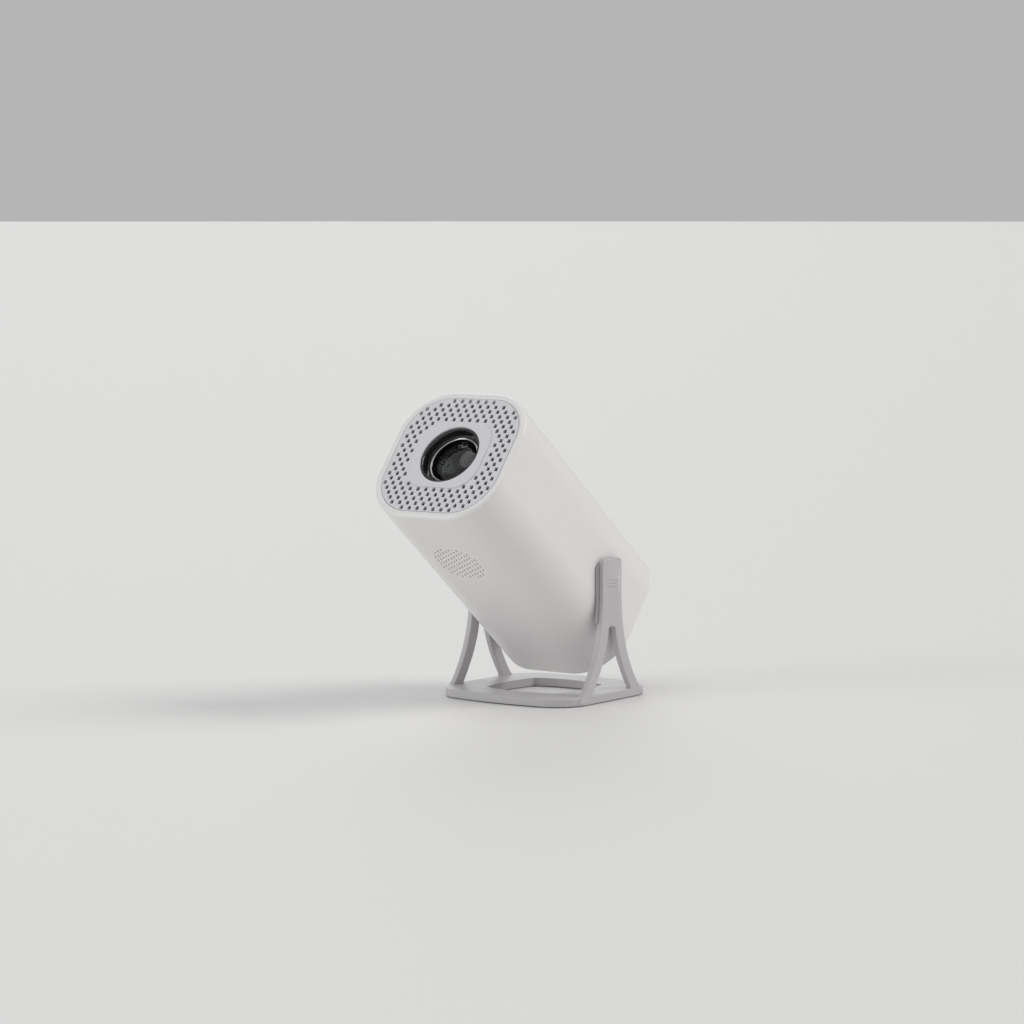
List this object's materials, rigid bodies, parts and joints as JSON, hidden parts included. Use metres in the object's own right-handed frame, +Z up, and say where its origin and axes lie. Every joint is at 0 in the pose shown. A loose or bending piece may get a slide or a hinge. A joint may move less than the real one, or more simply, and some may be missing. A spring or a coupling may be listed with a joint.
{
  "type": "portable home projector",
  "caption": "Rounded-square portable projector with a perforated front and central lens, tilting between the two arms of a ring-based stand.",
  "frame": {"origin": "on the surface the stand rests on, under the middle of the object's box at rest", "axes": "+Z up, the lens looks towards -Y and up, +X runs along the tilt axis"},
  "size_m": [0.1218, 0.225, 0.2265],
  "materials": {
    "shell": "satin pearl-silver paint on moulded plastic",
    "plate": "satin light grey plastic",
    "stand": "satin warm grey plastic",
    "accent": "satin grey plastic",
    "black_plastic": "black plastic",
    "gloss_black": "dark translucent plastic",
    "electronics": "sleeved capacitor",
    "rubber": "matt black rubber",
    "steel": "plated steel",
    "aluminium": "extruded aluminium",
    "glass": "coated optical glass",
    "chrome": "bright plated",
    "board": "green solder mask",
    "nylon": "natural nylon",
    "paper": "coated paper cone",
    "led": "phosphor and clear resin"
  },
  "bodies": {
    "stand": {"stand_frame": "stand", "base_weight": "steel", "base_screw_1": "steel", "base_screw_2": "steel", "base_screw_3": "steel", "base_screw_4": "steel", "rubber_foot_1": "rubber", "rubber_foot_2": "rubber", "rubber_foot_3": "rubber", "rubber_foot_4": "rubber", "hinge_washer_left": "rubber", "hinge_washer_right": "rubber", "hinge_screw_left": "steel", "hinge_screw_right": "steel"},
    "projector": {"outer_shell": "shell", "rear_cover": "shell", "front_plate": "plate", "lens_guide": "black_plastic", "optical_block": "black_plastic", "air_duct": "black_plastic", "fan_housing": "black_plastic", "dc_socket": "black_plastic", "audio_socket": "black_plastic", "lcd_panel": "black_plastic", "ir_window": "gloss_black", "capacitor_1": "electronics", "capacitor_2": "electronics", "rear_screw_1": "steel", "rear_screw_2": "steel", "rear_screw_3": "steel", "rear_screw_4": "steel", "hinge_plate_left": "steel", "hinge_plate_right": "steel", "speaker_basket": "steel", "processor_shield": "steel", "wifi_module": "steel", "heat_sink": "aluminium", "condenser_lens": "glass", "front_fresnel_lens": "glass", "rear_fresnel_lens": "glass", "reflector": "chrome", "hdmi_socket": "chrome", "usb_socket": "chrome", "main_board": "board", "driver_board": "board", "button_board": "board", "hinge_bush_left": "nylon", "hinge_bush_right": "nylon", "speaker_cone": "paper", "led_module": "led", "status_light": "led"},
    "lens": {"lens_barrel": "black_plastic", "front_lens": "glass", "middle_lens": "glass", "rear_lens": "glass", "lens_retaining_ring": "chrome"},
    "focus_ring": {"focus_ring": "nylon"},
    "focus_wheel": {"focus_wheel": "accent"},
    "power_button": {"power_button": "accent"},
    "fan": {"fan_rotor": "black_plastic"}
  },
  "joints": [
    {"name": "tilt", "type": "hinge", "parent": "stand", "child": "projector", "pos_m": [0, 0.03655, 0.092], "axis": [-1, 0, 0], "range_deg": [-38.7, 141.3]},
    {"name": "focus_wheel_turn", "type": "hinge", "parent": "projector", "child": "focus_wheel", "pos_m": [0, -0.03347, 0.20453], "axis": [0, -0.7804, 0.6252], "range_deg": [-180, 180]},
    {"name": "focus_ring_turn", "type": "hinge", "parent": "projector", "child": "focus_ring", "pos_m": [0, -0.061, 0.17016], "axis": [0, -0.7804, 0.6252], "range_deg": [-76, 76]},
    {"name": "lens_travel", "type": "slide", "parent": "projector", "child": "lens", "axis": [0, -0.7804, 0.6252], "range_m": [-0.0025, 0.0025]},
    {"name": "power_button_press", "type": "slide", "parent": "projector", "child": "power_button", "axis": [0, -0.6252, -0.7804], "range_m": [0, 0.0012], "stiffness_N_per_m": 400, "springref_m": -0.0005},
    {"name": "fan_spin", "type": "hinge", "parent": "projector", "child": "fan", "pos_m": [0, 0.07043, 0.07511], "axis": [0, -0.7804, 0.6252], "continuous": true}
  ],
  "couplings": [
    {"joint": "focus_wheel_turn", "follows": "lens_travel", "rad_per_m": 1250},
    {"joint": "focus_ring_turn", "follows": "lens_travel", "rad_per_m": -526.32}
  ]
}
